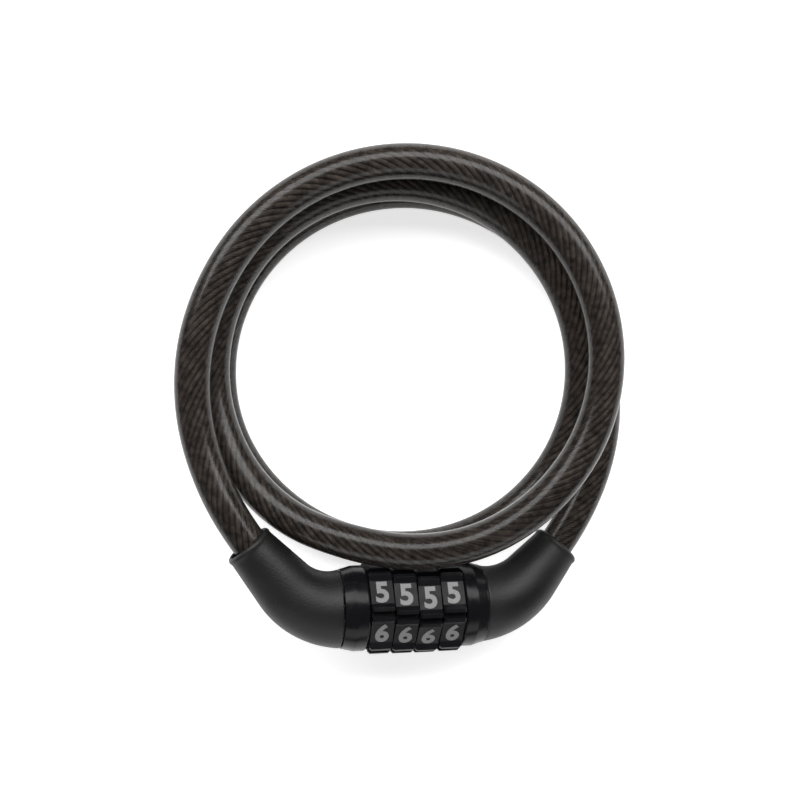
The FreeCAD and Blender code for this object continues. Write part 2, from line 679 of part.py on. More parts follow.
def tube_along(path, outer_radius, inner_radius, name):
    """A tube or rod swept along a path, with its volume checked against its section."""
    start = path.OrderedEdges[0]
    section_centre = start.valueAt(start.FirstParameter)
    direction = start.tangentAt(start.FirstParameter)
    rings = [Part.Wire(Part.makeCircle(outer_radius, section_centre, direction))]
    area = math.pi * outer_radius ** 2
    if inner_radius:
        rings.append(Part.Wire(Part.makeCircle(inner_radius, section_centre, direction)))
        area -= math.pi * inner_radius ** 2
    section = Part.Face(rings, "Part::FaceMakerBullseye")
    solid = path.makePipe(section)
    print(name, "length", round(path.Length, 1), "volume over section times length",
          round(solid.Volume / (area * path.Length), 4))
    return solid


def cable():
    """The sheath, and the rope whose bare ends run on into the ferrules."""
    points = cable_route()
    sheath = tube_along(rounded_path(points, 0), size("sheath_radius"), size("sheath_bore"),
                        "sheath")
    finish(built("sheath_tube", sheath), "cable_sheath", Placement())
    bare = size("socket_length") + size("socket_depth") - 2 * size("fit_play")
    rope = tube_along(rounded_path(points, bare), size("rope_radius"), 0, "rope")
    finish(built("rope_rod", rope), "wire_rope", Placement())


# ---------------------------------------------------------------- build, check and write

dials()
lock_core()
locking_pin()
for side in (-1, 1):
    collar(side)
collar_screws()
click_spring()
boot(LEFT, "left_boot")
boot(RIGHT, "right_boot")
elbow(LEFT, "left_elbow", 0, [pin_hole()])
elbow(RIGHT, "right_elbow", size("flange_width"), flange_screw_holes("elbow_screw_hole"))
flange_screws()
for bend, prefix in ((LEFT, "left"), (RIGHT, "right")):
    ferrule(bend, prefix + "_ferrule")
    grub_screw(bend, prefix + "_grub_screw")
cable()
doc.recompute()

for obj in doc.Objects:
    if "Invalid" in obj.State or "Error" in obj.State:
        raise RuntimeError(f"{obj.Name} failed: {obj.State}")
for obj in subparts:
    if obj.Shape.isNull() or not obj.Shape.isValid():
        raise RuntimeError(f"{obj.Label} has no valid shape")

os.makedirs("parts", exist_ok=True)
for obj in subparts:
    obj.Shape.exportStep(f"parts/{obj.Label}.step")
    print(f"{obj.Label}: {len(obj.Shape.Solids)} solid(s), {obj.Shape.Volume:.1f} mm3")
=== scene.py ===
import json
import math

import bmesh
import bpy
import numpy as np
from mathutils import Matrix, Vector


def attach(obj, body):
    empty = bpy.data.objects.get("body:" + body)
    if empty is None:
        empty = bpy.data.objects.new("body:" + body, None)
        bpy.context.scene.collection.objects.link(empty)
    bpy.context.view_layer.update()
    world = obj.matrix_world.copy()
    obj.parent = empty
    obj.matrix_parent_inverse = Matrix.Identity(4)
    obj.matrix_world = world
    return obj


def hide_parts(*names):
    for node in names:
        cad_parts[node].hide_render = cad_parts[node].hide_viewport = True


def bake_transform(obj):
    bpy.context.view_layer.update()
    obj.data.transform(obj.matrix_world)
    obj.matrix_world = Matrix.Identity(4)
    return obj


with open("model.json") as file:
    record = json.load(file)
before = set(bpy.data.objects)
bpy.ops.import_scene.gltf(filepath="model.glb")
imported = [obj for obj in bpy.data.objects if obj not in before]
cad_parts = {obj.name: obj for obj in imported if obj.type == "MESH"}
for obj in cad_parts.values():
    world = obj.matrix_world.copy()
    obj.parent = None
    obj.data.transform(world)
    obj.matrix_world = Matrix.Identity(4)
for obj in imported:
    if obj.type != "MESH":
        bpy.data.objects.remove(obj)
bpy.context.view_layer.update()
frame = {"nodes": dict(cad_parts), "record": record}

MM = 0.001

# The head's frame: local Z along its axis, local Y towards the coil, local X down.
HEAD_CENTRE = Vector((1.02, -6.35, 19.94)) * MM
HEAD_TURN = math.radians(103)
HEAD = Matrix.Translation(HEAD_CENTRE) @ Matrix.Rotation(HEAD_TURN, 4, "Y")
COIL_CENTRE = Vector((-1.83, 74.35, 0)) * MM

# The camera's lens and sensor in millimetres, and its place from the coil's centre.
LENS = 51.3
SENSOR_WIDTH = 36
CAMERA_OFFSET = Vector((-0.5, -10.3, 410)) * MM

# Dials, in millimetres and degrees. A setting is how far a dial is turned from a click.
DIAL_COUNT = 4
FACE_COUNT = 6
DIAL_PITCH = 8.1
DIAL_WIDTH = 7.7
DIAL_SETTINGS = (-1.3, 3.5, 9.2, 3.7)
RIDGE_RADIUS = 15.7
FACE_RADIUS = 13.4
FACE_HALF_ANGLE = 16.5
RIDGE_HALF_ANGLE = 8.5
GROOVE_RADIUS = 13.6
GROOVE_WIDTH = 2.0
DIAL_BEVEL = 0.7
DIAL_EDGE = 0.22
NUMBER_BORE = 10.0
RIDGE_STEPS = 4

# The numbers, in millimetres: drawn at a font size, thickened, then scaled to their height.
FONT_SIZE = 10.0
DIGIT_WEIGHT = 0.32
DIGIT_HALF_DEPTH = 0.14
DIGIT_EDGE = 0.03
DIGIT_HEIGHT = 7.4
DIGIT_SINK = 0.05

# Collars, in millimetres. The outline's points are (radius, along the axis).
COLLAR_START = 16.3
COLLAR_WIDTH = 8.3
COLLAR_END = COLLAR_START + COLLAR_WIDTH
COLLAR_BORE = 6.55
COLLAR_EDGE = 0.35
COLLAR_OUTLINE = [(13.7, 0), (14.3, 0.6), (14.3, 4.2), (13.4, 7.6), (13.3, COLLAR_WIDTH)]
COLLAR_SIDES = 96

# The cable, in millimetres.
SHEATH_RADIUS = 6.0
ROPE_RADIUS = 4.6
LAYER_PITCH = 12.3
POINT_SPACING = 1.5
SHEATH_SIDES = 40

# The rope's strands, in millimetres. The lay is the length of one turn about the cable.
STRAND_COUNT = 12
STRAND_RADIUS = 0.87
STRAND_SIDES = 8
STRAND_LAY = 46.0
WIRES_PER_STRAND = 7
WIRE_TURNS_PER_METRE = 110

# Boots, in millimetres, with a bead round the mouth.
BOOT_END_RADIUS = 13.1
BOOT_MOUTH_RADIUS = 8.0
BOOT_END_INNER = 9.5
BOOT_MOUTH_INNER = 7.0
BOOT_SIDES = 72
END_EASE = 0.45
LIP_EASE = 0.25
BEAD_HEIGHT = 0.35
BEAD_BACK = 1.1
BEAD_WIDTH = 0.7
PLUG_GAP = 0.3

# The stage: the floor's half width in metres, and the world's even light.
FLOOR_HALF = 4
WORLD_COLOUR = (0.8, 0.8, 0.8, 1)
WORLD_STRENGTH = 0.15


# ---------------------------------------------------------------- camera

def add_camera():
    """Straight above the lock, a little to the head's side of the coil's middle."""
    data = bpy.data.cameras.new("camera")
    data.lens = LENS
    data.sensor_width = SENSOR_WIDTH
    camera = bpy.data.objects.new("camera", data)
    camera.location = COIL_CENTRE + CAMERA_OFFSET
    bpy.context.scene.collection.objects.link(camera)
    bpy.context.scene.camera = camera


# ---------------------------------------------------------------- mesh helpers

def new_piece(name, vertices, faces, material, smooth=True):
    """An object in the scene made of these vertices and faces."""
    mesh = bpy.data.meshes.new(name)
    mesh.from_pydata([tuple(v) for v in vertices], [], faces)
    mesh.update()
    if smooth:
        mesh.shade_smooth()
    piece = bpy.data.objects.new(name, mesh)
    piece.data.materials.append(material)
    bpy.context.scene.collection.objects.link(piece)
    return piece


def unit(rows):
    """Each row scaled to a length of one."""
    return rows / np.linalg.norm(rows, axis=1, keepdims=True)


def frames_along(points):
    """Tangents and two side directions that turn as little as they can along a line of points."""
    tangents = unit(np.gradient(points, axis=0))
    sides = np.zeros_like(points)
    side = np.cross(tangents[0], (0, 0, 1.0))
    for index, tangent in enumerate(tangents):
        side = side - tangent * np.dot(side, tangent)
        side = side / np.linalg.norm(side)
        sides[index] = side
    return tangents, sides, np.cross(tangents, sides)


def ring_faces(rings, sides, first=0):
    """Quads that join rings of vertices one after another."""
    faces = []
    for ring in range(rings - 1):
        for side in range(sides):
            after = (side + 1) % sides
            here = first + ring * sides
            above = here + sides
            faces.append((here + side, here + after, above + after, above + side))
    return faces


def loop_faces(rings, sides):
    """Quads that join rings of vertices one after another, and the last ring to the first."""
    faces = ring_faces(rings, sides)
    last = (rings - 1) * sides
    for side in range(sides):
        after = (side + 1) % sides
        faces.append((last + side, last + after, after, side))
    return faces


def tube(points, radius, sides, first=0):
    """Vertices and faces of a round tube about a line of points, with its ends closed."""
    _, across, up = frames_along(points)
    angles = np.linspace(0, 2 * math.pi, sides, endpoint=False)
    rings = (points[:, None, :] + radius * (np.cos(angles)[None, :, None] * across[:, None, :]
                                            + np.sin(angles)[None, :, None] * up[:, None, :]))
    faces = ring_faces(len(points), sides, first)
    faces.append(tuple(first + side for side in reversed(range(sides))))
    last = first + (len(points) - 1) * sides
    faces.append(tuple(last + side for side in range(sides)))
    return rings.reshape(-1, 3), faces


def add_length_uv(mesh, sides, rings, spacing):
    """A UV map in metres along each tube and turns about it."""
    uv = mesh.uv_layers.new(name="along")
    per_tube = sides * rings
    for loop in mesh.loops:
        within = loop.vertex_index % per_tube
        uv.data[loop.index].uv = ((within // sides) * spacing, (within % sides) / sides)


# ---------------------------------------------------------------- cable

# Where the cable leaves each end fitting, and a point just outside each boot's mouth.
LEFT_END = Vector((-43.8, 5.6, 30.3)) * MM
LEFT_LEAD = Vector((-56.9, 21.0, 33.3)) * MM
RIGHT_END = Vector((46.4, 5.7, 9.5)) * MM
RIGHT_LEAD = Vector((57.1, 17.8, 7.0)) * MM

# The coil is wound clockwise from the left mouth: its radius at chosen angles about its middle.
COIL_RADII = [
    (200, 71.4), (160, 68.0), (120, 68.3), (50, 70.0), (0, 68.2), (-40, 64.7),
    (-70, 62.5), (-105, 59.5), (-130, 62.8), (-160, 64.8), (-190, 65.0), (-250, 64.6),
    (-310, 62.8), (-340, 62.3), (-400, 63.1), (-450, 62.7), (-490, 63.4), (-520, 64.7),
    (-570, 64.2), (-610, 63.5), (-660, 64.5), (-690, 66.8), (-720, 70.6), (-742, 75.2),
]
# It starts on the top layer and drops one layer between each of these pairs of angles.
COIL_DESCENTS = [(-105, -172), (-330, -430)]
# The route's points are about this many degrees apart.
COIL_STEP = 22.0


def coil_radius(angle):
    """A smooth curve through the chosen radii."""
    last = len(COIL_RADII) - 1

    def slope(index):
        before = COIL_RADII[max(index - 1, 0)]
        after = COIL_RADII[min(index + 1, last)]
        return (after[1] - before[1]) / (after[0] - before[0])

    for index, (start, end) in enumerate(zip(COIL_RADII, COIL_RADII[1:])):
        if start[0] >= angle >= end[0]:
            span = end[0] - start[0]
            share = (angle - start[0]) / span
            return (start[1] * (1 + 2 * share) * (1 - share) ** 2
                    + end[1] * share ** 2 * (3 - 2 * share)
                    + slope(index) * span * share * (1 - share) ** 2
                    - slope(index + 1) * span * share ** 2 * (1 - share))
    raise ValueError(angle)


def coil_height(angle):
    """The centre line's height: each layer rests on the one below."""
    layer = len(COIL_DESCENTS)
    for start, end in COIL_DESCENTS:
        share = min(max((start - angle) / (start - end), 0), 1)
        layer -= share * share * (3 - 2 * share)
    return SHEATH_RADIUS + layer * LAYER_PITCH


def cable_route():
    """The cable's control points: the left end, the coil's turns, and the right end."""
    points = [LEFT_END, LEFT_LEAD]
    first = COIL_RADII[0][0]
    last = COIL_RADII[-1][0]
    steps = round((first - last) / COIL_STEP)
    step = (first - last) / steps
    stand_out = 1 / math.cos(math.radians(step / 2))
    for index in range(steps + 1):
        angle = first - index * step
        radius = coil_radius(angle) * stand_out
        turned = math.radians(angle)
        points.append(COIL_CENTRE + MM * Vector((radius * math.cos(turned),
                                                 radius * math.sin(turned),
                                                 coil_height(angle))))
    return points + [RIGHT_LEAD, RIGHT_END]


def spline_points(route, spacing):
    """Evenly spaced points on the smooth line that the route's points control."""
    curve = bpy.data.curves.new("cable_route", "CURVE")
    curve.dimensions = "3D"
    curve.resolution_u = 24
    spline = curve.splines.new("NURBS")
    spline.points.add(len(route) - 1)
    for control, point in zip(spline.points, route):
        control.co = (*point, 1)
    spline.order_u = 3
    spline.use_endpoint_u = True
    line = bpy.data.objects.new("cable_route", curve)
    bpy.context.scene.collection.objects.link(line)
    mesh = bpy.data.meshes.new_from_object(line)
    read = np.array([tuple(vertex.co) for vertex in mesh.vertices])
    bpy.data.objects.remove(line)
    bpy.data.meshes.remove(mesh)
    bpy.data.curves.remove(curve)
    runs = np.linalg.norm(np.diff(read, axis=0), axis=1)
    reached = np.concatenate([[0], np.cumsum(runs)])
    count = round(reached[-1] / spacing)
    wanted = np.linspace(0, reached[-1], count + 1)
    return np.stack([np.interp(wanted, reached, read[:, axis]) for axis in range(3)], axis=1)


def add_sheath(points, material):
    """The clear tube, which lets the light through to the rope."""
    vertices, faces = tube(points, SHEATH_RADIUS * MM, SHEATH_SIDES)
    sheath = new_piece("sheath", vertices, faces, material)
    sheath.visible_shadow = False
    return sheath


def add_rope(points, spacing, material):
    """Strands laid right-handed about the cable's line."""
    helix_radius = (ROPE_RADIUS - STRAND_RADIUS) * MM
    _, across, up = frames_along(points)
    along = np.arange(len(points)) * spacing
    all_vertices = []
    all_faces = []
    for strand in range(STRAND_COUNT):
        phase = 2 * math.pi * (strand / STRAND_COUNT + along / (STRAND_LAY * MM))
        line = points + helix_radius * (np.cos(phase)[:, None] * across
                                        + np.sin(phase)[:, None] * up)
        first = strand * STRAND_SIDES * len(points)
        vertices, faces = tube(line, STRAND_RADIUS * MM, STRAND_SIDES, first)
        all_vertices.append(vertices)
        all_faces += faces
    rope = new_piece("rope", np.concatenate(all_vertices), all_faces, material)
    add_length_uv(rope.data, STRAND_SIDES, len(points), spacing)
    return rope


def add_cable():
    """The sheath and its rope, from the plug round the coil to the lock's body."""
    fine = spline_points(cable_route(), POINT_SPACING * MM)
    spacing = float(np.linalg.norm(fine[1] - fine[0]))
    sheath = add_sheath(fine, sheath_material())
    rope = add_rope(fine, spacing, rope_material())
    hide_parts("cable_sheath")
    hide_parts("wire_rope")
    for piece in (sheath, rope):
        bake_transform(piece)


# ---------------------------------------------------------------- materials

def new_material(name, **sockets):
    """A Principled material with some sockets set, and its node tree."""
    material = bpy.data.materials.new(name)
    material.use_nodes = True
    shader = material.node_tree.nodes["Principled BSDF"]
    for socket, value in sockets.items():
        shader.inputs[socket.replace("_", " ")].default_value = value
    return material, shader


def add_node(material, kind, links=(), **settings):
    """A node with its properties or inputs set, and its inputs linked."""
    node = material.node_tree.nodes.new(kind)
    for key, value in settings.items():
        if hasattr(node, key):
            setattr(node, key, value)
        else:
            node.inputs[key.replace("_", " ")].default_value = value
    for socket, source in links:
        material.node_tree.links.new(source, node.inputs[socket])
    return node


def add_bump(material, shader, height, strength, distance):
    """Fine relief from a height, whose distance is in metres."""
    bump = add_node(material, "ShaderNodeBump", [("Height", height)], Strength=strength,
                    Distance=distance)
    material.node_tree.links.new(bump.outputs["Normal"], shader.inputs["Normal"])


def add_noise(material, scale, detail):
    """Noise in the object's own space, so its scale is about its patches in a metre."""
    coordinates = add_node(material, "ShaderNodeTexCoord")
    return add_node(material, "ShaderNodeTexNoise", [("Vector", coordinates.outputs["Object"])],
                    Scale=scale, Detail=detail)


def add_ramp(material, source, stops):
    """A colour ramp with stops of position and grey level or colour."""
    ramp = add_node(material, "ShaderNodeValToRGB", [("Fac", source)])
    elements = ramp.color_ramp.elements
    while len(elements) < len(stops):
        elements.new(0.5)
    for element, (position, colour) in zip(elements, stops):
        element.position = position
        element.color = (*colour, 1) if isinstance(colour, tuple) else (colour,) * 3 + (1,)
    return ramp.outputs["Color"]


def sheath_material():
    """Clear vinyl with a smoke tint, and the faint waviness of extruded plastic."""
    material, shader = new_material("smoke_vinyl", Base_Color=(0.045, 0.039, 0.035, 1),
                                    Roughness=0.2, IOR=1.34, Transmission_Weight=1.0,
                                    Specular_IOR_Level=1.0)
    waviness = add_noise(material, scale=160, detail=2)
    add_bump(material, shader, waviness.outputs["Fac"], strength=0.03, distance=0.0004)
    return material


def rope_material():
    """Dull steel strands: each shows the fine wires that it is twisted from."""
    material, shader = new_material("rope_wire", Metallic=0.3, Roughness=0.55)
    place = add_node(material, "ShaderNodeUVMap", uv_map="along")
    split = add_node(material, "ShaderNodeSeparateXYZ", [("Vector", place.outputs["UV"])])
    turns = add_node(material, "ShaderNodeMath", [(0, split.outputs["X"])], operation="MULTIPLY")
    turns.inputs[1].default_value = WIRE_TURNS_PER_METRE
    twisted = add_node(material, "ShaderNodeMath", [(0, turns.outputs[0]), (1, split.outputs["Y"])],
                       operation="SUBTRACT")
    wires = add_node(material, "ShaderNodeMath", [(0, twisted.outputs[0])], operation="MULTIPLY")
    wires.inputs[1].default_value = WIRES_PER_STRAND * 2 * math.pi
    wave = add_node(material, "ShaderNodeMath", [(0, wires.outputs[0])], operation="SINE")
    level = add_node(material, "ShaderNodeMapRange", [("Value", wave.outputs[0])], From_Min=-1.0)
    add_bump(material, shader, level.outputs["Result"], strength=0.7, distance=0.0002)
    grime = add_noise(material, scale=420, detail=4)
    shade = add_ramp(material, grime.outputs["Fac"], [(0.3, (0.065, 0.055, 0.05)),
                                                      (0.7, (0.29, 0.255, 0.23))])
    material.node_tree.links.new(shade, shader.inputs["Base Color"])
    return material


def boot_material():
    """Matt moulded rubber with a fine grain and faint handling marks."""
    material, shader = new_material("boot_rubber", Specular_IOR_Level=0.35)
    grain = add_noise(material, scale=1900, detail=2)
    add_bump(material, shader, grain.outputs["Fac"], strength=0.35, distance=0.0003)
    cloud = add_noise(material, scale=60, detail=4)
    shade = add_ramp(material, cloud.outputs["Fac"], [(0.35, (0.005, 0.005, 0.005)),
                                                      (0.7, (0.009, 0.0088, 0.0086))])
    material.node_tree.links.new(shade, shader.inputs["Base Color"])
    rough = add_ramp(material, cloud.outputs["Fac"], [(0.3, 0.42), (0.7, 0.54)])
    material.node_tree.links.new(rough, shader.inputs["Roughness"])
    return material


def black_material(name, smooth, rubbed_through):
    """Black moulded plastic whose roughness goes from smooth to rubbed."""
    material, shader = new_material(name, Base_Color=(0.005, 0.005, 0.006, 1), IOR=1.45,
                                    Specular_IOR_Level=0.2)
    rubbed = add_noise(material, scale=340, detail=5)
    rough = add_ramp(material, rubbed.outputs["Fac"], [(0.35, smooth), (0.75, rubbed_through)])
    material.node_tree.links.new(rough, shader.inputs["Roughness"])
    add_bump(material, shader, rubbed.outputs["Fac"], strength=0.06, distance=0.0002)
    return material


def number_material():
    """Silver-grey paint in the numbers."""
    material, shader = new_material("number_paint", Metallic=0.15, Roughness=0.5)
    speckle = add_noise(material, scale=2600, detail=3)
    shade = add_ramp(material, speckle.outputs["Fac"], [(0.3, 0.155), (0.7, 0.21)])
    material.node_tree.links.new(shade, shader.inputs["Base Color"])
    add_bump(material, shader, speckle.outputs["Fac"], strength=0.15, distance=0.0001)
    return material


def metal_material(name, dark, light, roughness, scale):
    """A plain metal with a fine mottled finish."""
    material, shader = new_material(name, Metallic=1.0)
    mottle = add_noise(material, scale, detail=5)
    shade = add_ramp(material, mottle.outputs["Fac"], [(0.3, dark), (0.7, light)])
    material.node_tree.links.new(shade, shader.inputs["Base Color"])
    rough = add_ramp(material, mottle.outputs["Fac"], [(0.3, roughness - 0.08),
                                                       (0.7, roughness + 0.08)])
    material.node_tree.links.new(rough, shader.inputs["Roughness"])
    add_bump(material, shader, mottle.outputs["Fac"], strength=0.1, distance=0.0001)
    return material


def stage_material():
    """A white sheet that glows softly, so nothing throws a hard shadow on it."""
    material, shader = new_material("pale_floor", Roughness=0.8, Emission_Strength=0.62,
                                    Specular_IOR_Level=0.0)
    shader.inputs["Emission Color"].default_value = (1, 1, 1, 1)
    cloud = add_noise(material, scale=3, detail=2)
    shade = add_ramp(material, cloud.outputs["Fac"], [(0.3, 0.86), (0.7, 0.88)])
    material.node_tree.links.new(shade, shader.inputs["Base Color"])
    return material


# ---------------------------------------------------------------- head

def round_point(place, radius, angle, along):
    """A point about a frame's Z axis, from millimetres and radians."""
    return place @ (MM * Vector((radius * math.cos(angle), radius * math.sin(angle), along)))


def outward_normals(piece):
    """Turn every face of a closed piece outwards."""
    mesh = bmesh.new()
    mesh.from_mesh(piece.data)
    bmesh.ops.recalc_face_normals(mesh, faces=mesh.faces)
    mesh.to_mesh(piece.data)
    mesh.free()


def lathe(name, profile, sides, material):
    """A piece turned about the head's axis from a closed profile of (radius, along) points."""
    angles = np.linspace(0, 2 * math.pi, sides, endpoint=False)
    vertices = [round_point(HEAD, radius, angle, along)
                for radius, along in profile for angle in angles]
    piece = new_piece(name, vertices, loop_faces(len(profile), sides), material)
    outward_normals(piece)
    return piece


def rounded(corners, radius, steps=4):
    """An open profile with the corners between its two ends rounded."""
    points = [corners[0]]
    for before, corner, after in zip(corners, corners[1:], corners[2:]):
        corner = Vector(corner)
        inward = Vector(before) - corner
        outward = Vector(after) - corner
        reach = min(radius, 0.45 * inward.length, 0.45 * outward.length)
        start = corner + inward.normalized() * reach
        end = corner + outward.normalized() * reach
        for step in range(steps + 1):
            share = step / steps
            points.append(tuple(start * (1 - share) ** 2 + corner * 2 * share * (1 - share)
                                + end * share * share))
    points.append(corners[-1])
    return points


def add_collar(side, material):
    """A flared barrel: widest by the dials, and stepped in a little by the boot."""
    name = "left_collar" if side < 0 else "right_collar"
    corners = [(COLLAR_BORE, 0)] + COLLAR_OUTLINE + [(COLLAR_BORE, COLLAR_WIDTH)]
    profile = [(radius, side * (COLLAR_START + along))
               for radius, along in rounded(corners, COLLAR_EDGE)]
    piece = lathe(name + "_shell", profile, COLLAR_SIDES, material)
    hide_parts(name)
    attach(piece, "lock_body")


def ring_outline():
    """One dial's outline as polar points: flat faces with ridges and split grooves between."""
    half = 180 / FACE_COUNT
    flank = half - RIDGE_HALF_ANGLE
    ridge_end = half - math.degrees(math.asin(GROOVE_WIDTH / 2 / RIDGE_RADIUS))
    groove_end = half - math.degrees(math.asin(GROOVE_WIDTH / 2 / GROOVE_RADIUS))
    half_face = FACE_RADIUS * math.tan(math.radians(FACE_HALF_ANGLE))
    flat = []
    for share in (-1, -0.5, 0, 0.5, 1):
        across = half_face * share
        flat.append((math.degrees(math.atan2(across, FACE_RADIUS)),
                     math.hypot(across, FACE_RADIUS)))
    right = [(flank + (ridge_end - flank) * step / RIDGE_STEPS, RIDGE_RADIUS)
             for step in range(RIDGE_STEPS + 1)]
    right.append((groove_end, GROOVE_RADIUS))
    left = [(-angle, radius) for angle, radius in reversed(right)]
    points = []
    for face in range(FACE_COUNT):
        middle = face * 360 / FACE_COUNT + half
        points += [(middle + angle, radius) for angle, radius in left + flat + right]
    return points


def add_number_ring(index, material, paint):
    """One dial's outer ring with bevelled ends, turned to its setting, and its numbers."""
    centre = (index - (DIAL_COUNT - 1) / 2) * DIAL_PITCH
    place = (HEAD @ Matrix.Translation((0, 0, centre * MM))
             @ Matrix.Rotation(math.radians(DIAL_SETTINGS[index]), 4, "Z"))
    outline = ring_outline()
    half = DIAL_WIDTH / 2
    stations = [(-half, RIDGE_RADIUS - DIAL_BEVEL), (-half + DIAL_BEVEL, RIDGE_RADIUS),
                (half - DIAL_BEVEL, RIDGE_RADIUS), (half, RIDGE_RADIUS - DIAL_BEVEL)]
    stations += [(half, NUMBER_BORE), (-half, NUMBER_BORE)]
    vertices = []
    for along, limit in stations:
        for angle, radius in outline:
            vertices.append(round_point(place, min(radius, limit), math.radians(angle), along))
    faces = loop_faces(len(stations), len(outline))
    name = f"number_ring_{index + 1}"
    ring = new_piece(name + "_shell", vertices, faces, material, smooth=False)
    outward_normals(ring)
    bevel_edges(ring, DIAL_EDGE * MM)
    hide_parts(name)
    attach(ring, f"dial_{index + 1}")
    add_numbers(index, place, paint)


def bevel_edges(piece, width, segments=3):
    """Round a piece's sharp edges, and shade it so its flat faces stay flat."""
    bevel = piece.modifiers.new("eased", "BEVEL")
    bevel.width = width
    bevel.segments = segments
    bevel.limit_method = "ANGLE"
    bevel.angle_limit = math.radians(25)
    bevel.use_clamp_overlap = True
    apply_modifiers(piece)
    piece.data.shade_smooth()
    weighted = piece.modifiers.new("weighted", "WEIGHTED_NORMAL")
    weighted.keep_sharp = False
    apply_modifiers(piece)


def apply_modifiers(piece):
    """Put what a piece's modifiers make in place of its mesh."""
    graph = bpy.context.evaluated_depsgraph_get()
    evaluated = bpy.data.meshes.new_from_object(piece.evaluated_get(graph), depsgraph=graph,
                                                preserve_all_data_layers=True)
    piece.modifiers.clear()
    old = piece.data
    piece.data = evaluated
    bpy.data.meshes.remove(old)


def digit_mesh(digit):
    """A number as a thin solid, with its middle at the origin and its stated height."""
    text = bpy.data.curves.new("digit", "FONT")
    text.body = str(digit)
    text.size = FONT_SIZE * MM
    text.align_x = "CENTER"
    text.align_y = "CENTER"
    text.offset = DIGIT_WEIGHT * MM
    text.extrude = DIGIT_HALF_DEPTH * MM
    text.bevel_depth = DIGIT_EDGE * MM
    text.resolution_u = 6
    holder = bpy.data.objects.new("digit", text)
    bpy.context.scene.collection.objects.link(holder)
    mesh = bpy.data.meshes.new_from_object(holder)
    bpy.data.objects.remove(holder)
    low = np.min([tuple(vertex.co) for vertex in mesh.vertices], axis=0)
    high = np.max([tuple(vertex.co) for vertex in mesh.vertices], axis=0)
    middle = (low + high) / 2
    shrink = DIGIT_HEIGHT * MM / (high[1] - low[1])
    mesh.transform(Matrix.Diagonal((shrink, shrink, 1, 1))
                   @ Matrix.Translation((-middle[0], -middle[1], 0)))
    return mesh


def add_numbers(index, place, paint):
    """The six numbers of a dial, each standing a tenth of a millimetre proud of its face."""
    name = f"numbers_{index + 1}"
    parts = bmesh.new()
    for face in range(FACE_COUNT):
        # the face that looks up and towards the coil shows 5, and the next one round shows 6
        digit = (face + 2) % FACE_COUNT + 1
        angle = math.radians((face + 0.5) * 360 / FACE_COUNT)
        out = Vector((math.cos(angle), math.sin(angle), 0))
        right = Vector((0, 0, 1))
        up = out.cross(right)
        turn = Matrix((right, up, out)).transposed().to_4x4()
        seat = Matrix.Translation(out * (FACE_RADIUS - DIGIT_SINK) * MM)
        mesh = digit_mesh(digit)
        mesh.transform(place @ seat @ turn)
        parts.from_mesh(mesh)
        bpy.data.meshes.remove(mesh)
    mesh = bpy.data.meshes.new(name)
    parts.to_mesh(mesh)
    parts.free()
    mesh.materials.clear()
    mesh.materials.append(paint)
    piece = bpy.data.objects.new(name, mesh)
    bpy.context.scene.collection.objects.link(piece)
    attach(piece, f"dial_{index + 1}")


class Bend:
    """A boot's centre line in the head's YZ plane: an arc, then a straight to the mouth.

    It turns by turn degrees. Its mouth lies reach past start along the axis, on the given side,
    and rise from the axis towards the coil.
    """

    def __init__(self, side, start, turn, reach, rise):
        self.side = side
        self.start = start
        self.turn = math.radians(turn)
        sine = math.sin(self.turn)
        cosine = math.cos(self.turn)
        rise_per_reach = (1 - cosine) / sine
        self.straight = (rise - reach * rise_per_reach) / (sine - cosine * rise_per_reach)
        self.radius = (reach - self.straight * cosine) / sine
        self.arc_length = self.radius * self.turn
        self.length = self.arc_length + self.straight

    def angle(self, along):
        """How far the line has turned at a distance along it."""
        return min(max(along, 0), self.arc_length) / self.radius

    def point(self, along):
        """The point at a distance along the line, in the head's frame."""
        angle = self.angle(along)
        extra = along - self.arc_length if along > self.arc_length else min(along, 0)
        reach = self.radius * math.sin(angle) + extra * math.cos(angle)
        rise = self.radius * (1 - math.cos(angle)) + extra * math.sin(angle)
        return Vector((0, rise, self.side * (self.start + reach)))

    def section(self, along, radius, sides):
        """A circle of points square to the centre line."""
        angle = self.angle(along)
        out = Vector((0, math.cos(angle), -self.side * math.sin(angle)))
        centre = self.point(along)
        circle = []
        for side in range(sides):
            turned = 2 * math.pi * side / sides
            offset = out * math.cos(turned) + Vector((1, 0, 0)) * math.sin(turned)
            circle.append(HEAD @ (MM * (centre + offset * float(radius))))
        return circle


def boot_profile(length):
    """The closed outline of a boot's wall: (along, radius) points, out along it and back inside."""
    def outer(along):
        swell = BEAD_HEIGHT * math.exp(-((length - BEAD_BACK - along) / BEAD_WIDTH) ** 2)
        return BOOT_END_RADIUS + (BOOT_MOUTH_RADIUS - BOOT_END_RADIUS) * along / length + swell

    def inner(along):
        return BOOT_END_INNER + (BOOT_MOUTH_INNER - BOOT_END_INNER) * along / length

    end_rim = [(0, BOOT_END_INNER), (0, BOOT_END_RADIUS - END_EASE),
               (0.12, BOOT_END_RADIUS - 0.15), (END_EASE, outer(END_EASE))]
    taper = [(along, outer(along)) for along in np.linspace(1, length - 2.4, 44)]
    bead = [(length - back, outer(length - back)) for back in (2, 1.6, 1.2, 0.8, 0.5)]
    mouth_rim = [(length - 0.12, BOOT_MOUTH_RADIUS - 0.1), (length, BOOT_MOUTH_RADIUS - 0.4),
                 (length, BOOT_MOUTH_INNER + LIP_EASE), (length - LIP_EASE, BOOT_MOUTH_INNER)]
    inside = [(along, inner(along)) for along in np.linspace(length - 1, 0.4, 20)]
    return end_rim + taper + bead + mouth_rim + inside


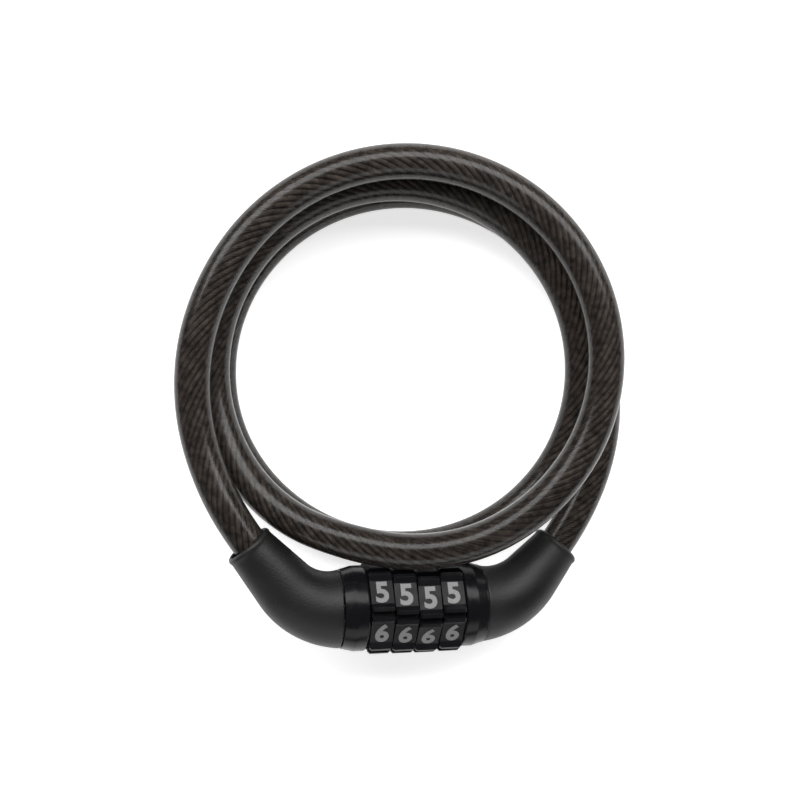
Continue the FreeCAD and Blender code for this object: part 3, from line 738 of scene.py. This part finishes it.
def add_boot(name, bend, body, material):
    """A curved, tapering shell with an eased rim at each end."""
    profile = boot_profile(bend.length)
    vertices = []
    for along, radius in profile:
        vertices += bend.section(along, radius, BOOT_SIDES)
    piece = new_piece(name + "_shell", vertices, loop_faces(len(profile), BOOT_SIDES), material)
    outward_normals(piece)
    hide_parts(name)
    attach(piece, body)


def add_head():
    """The collars, the dials with their numbers, and the boots."""
    gloss = black_material("gloss_black", smooth=0.18, rubbed_through=0.32)
    satin = black_material("satin_black", smooth=0.32, rubbed_through=0.46)
    rubber = boot_material()
    paint = number_material()
    for side in (-1, 1):
        add_collar(side, gloss)
    for index in range(DIAL_COUNT):
        add_number_ring(index, satin, paint)
    left = Bend(side=-1, start=COLLAR_END + PLUG_GAP, turn=49, reach=30.6, rise=22.8)
    right = Bend(side=1, start=COLLAR_END, turn=48, reach=28.9, rise=19.7)
    add_boot("left_boot", left, "plug", rubber)
    add_boot("right_boot", right, "lock_body", rubber)


def paint_frame():
    """A finish for each CAD node that still shows: the metal parts inside the head."""
    zinc = metal_material("cast_zinc", dark=0.34, light=0.48, roughness=0.5, scale=700)
    steel = metal_material("bright_steel", dark=0.5, light=0.62, roughness=0.3, scale=1400)
    black = metal_material("blackened_steel", dark=0.10, light=0.16, roughness=0.4, scale=1200)
    brass = metal_material("turned_brass", dark=(0.52, 0.38, 0.17), light=(0.68, 0.52, 0.26),
                           roughness=0.34, scale=1100)
    finishes = {"cast_zinc": zinc, "core_metal": zinc, "bright_steel": steel,
                "ferrule_metal": steel, "screw_steel": black, "code_brass": brass}
    for entry in frame["record"]["subparts"]:
        finish = finishes.get(entry["material_slot"])
        if finish:
            node = frame["nodes"][entry["node"]]
            node.data.materials.clear()
            node.data.materials.append(finish)


# ---------------------------------------------------------------- stage

def add_light(name, lean, length, width, watts):
    """A soft panel one metre from the head, leaning from straight up towards the coil."""
    data = bpy.data.lights.new(name, "AREA")
    data.shape = "RECTANGLE"
    data.size = length
    data.size_y = width
    data.energy = watts
    light = bpy.data.objects.new(name, data)
    angle = math.radians(lean)
    away = Vector((0, math.sin(angle), math.cos(angle)))
    light.location = HEAD_CENTRE + away
    light.rotation_euler = (-away).to_track_quat("-Z", "Y").to_euler()
    bpy.context.scene.collection.objects.link(light)


def add_stage():
    """A white sheet, a faint even world, and two soft panels."""
    corners = [(FLOOR_HALF * x, FLOOR_HALF * y, 0) for x, y in ((-1, -1), (1, -1), (1, 1), (-1, 1))]
    floor = new_piece("floor", corners, [(0, 1, 2, 3)], stage_material())
    world = bpy.data.worlds.new("studio")
    world.use_nodes = True
    background = world.node_tree.nodes["Background"]
    background.inputs["Color"].default_value = WORLD_COLOUR
    background.inputs["Strength"].default_value = WORLD_STRENGTH
    bpy.context.scene.world = world
    bpy.context.scene.view_settings.view_transform = "Standard"
    add_light("soft_box", lean=40, length=2.2, width=0.5, watts=20)
    add_light("front_panel", lean=-62, length=1.6, width=0.5, watts=4.5)


add_camera()
add_cable()
add_head()
paint_frame()
add_stage()
